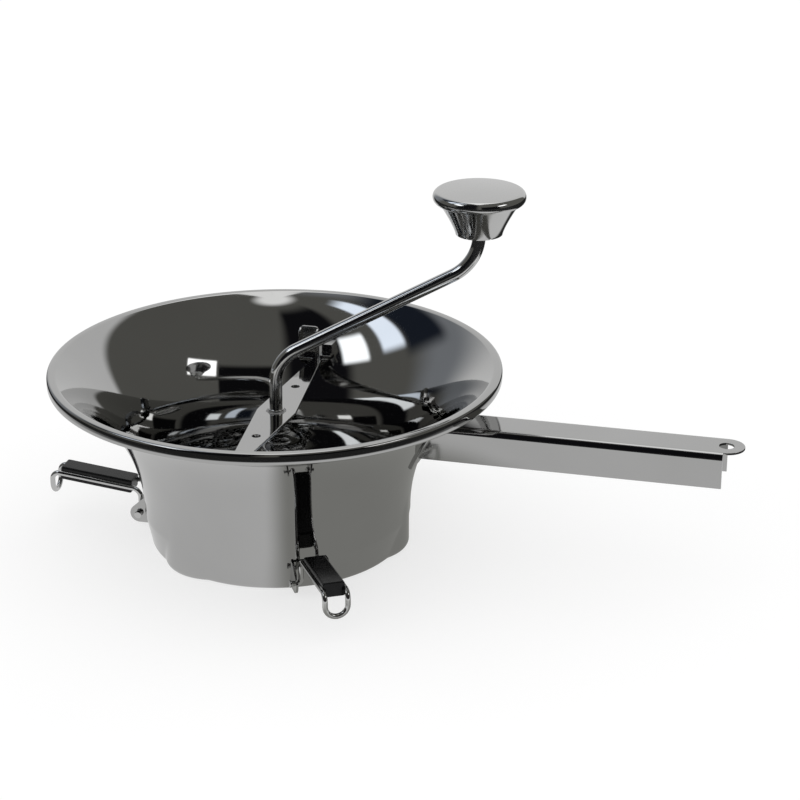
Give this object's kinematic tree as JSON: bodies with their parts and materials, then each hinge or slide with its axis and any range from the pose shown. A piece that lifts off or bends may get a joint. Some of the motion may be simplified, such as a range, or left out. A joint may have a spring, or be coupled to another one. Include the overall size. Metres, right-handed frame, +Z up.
{
  "type": "rotary food mill",
  "caption": "Flared steel bowl with a sieve disc, a cranked spring-loaded blade under a bridge bar, a channel handle and folding wire feet, for pressing soft food through the disc.",
  "frame": {"origin": "where the bowl's axis meets the surface the drum stands on", "axes": "+Z up along the bowl's axis, +X out along the handle"},
  "size_m": [0.378, 0.24, 0.1945],
  "materials": {
    "polished_steel": "mirror polished",
    "plain_steel": "drawn, unpolished",
    "grip_plastic": "satin black",
    "bush_plastic": "satin grey",
    "sleeve_plastic": "satin white"
  },
  "bodies": {
    "mill": {"bowl": "polished_steel", "sieve_disc": "polished_steel", "disc_bush": "bush_plastic", "bridge_bar": "polished_steel", "bar_bush": "bush_plastic", "bar_lugs": "polished_steel", "handle": "polished_steel", "handle_saddle": "polished_steel", "foot_clevis_1": "polished_steel", "foot_clevis_2": "polished_steel", "foot_clevis_3": "polished_steel"},
    "lift": {"thrust_washer": "plain_steel", "spring": "plain_steel"},
    "crank": {"crank_rod": "polished_steel", "crank_ring": "polished_steel", "blade_wings": "polished_steel", "blade_hub": "polished_steel", "blade_pin": "plain_steel", "knob_retainer": "plain_steel"},
    "knob": {"knob_shell": "polished_steel", "knob_cap": "polished_steel", "knob_sleeve": "sleeve_plastic"},
    "foot_1": {"foot_wire_1": "polished_steel", "foot_grip_1": "grip_plastic"},
    "foot_2": {"foot_wire_2": "polished_steel", "foot_grip_2": "grip_plastic"},
    "foot_3": {"foot_wire_3": "polished_steel", "foot_grip_3": "grip_plastic"}
  },
  "joints": [
    {"name": "blade_lift", "type": "slide", "parent": "mill", "child": "lift", "axis": [0, 0, 1], "range_m": [0, 0.004], "stiffness_N_per_m": 2000, "springref_m": -0.008, "deforming": ["spring"]},
    {"name": "crank_spin", "type": "hinge", "parent": "lift", "child": "crank", "pos_m": [0, 0, 0.034], "axis": [0, 0, 1], "continuous": true},
    {"name": "knob_spin", "type": "hinge", "parent": "crank", "child": "knob", "pos_m": [0.10232, 0.03128, 0.171], "axis": [0, 0, 1], "continuous": true},
    {"name": "foot_1_fold", "type": "hinge", "parent": "mill", "child": "foot_1", "pos_m": [-0.0765, 0, 0.008], "axis": [0, -1, 0], "range_deg": [-12, 95]},
    {"name": "foot_2_fold", "type": "hinge", "parent": "mill", "child": "foot_2", "pos_m": [0.03825, 0.06625, 0.008], "axis": [-0.866, 0.5, 0], "range_deg": [-12, 95]},
    {"name": "foot_3_fold", "type": "hinge", "parent": "mill", "child": "foot_3", "pos_m": [0.03825, -0.06625, 0.008], "axis": [0.866, 0.5, 0], "range_deg": [-12, 95]}
  ]
}
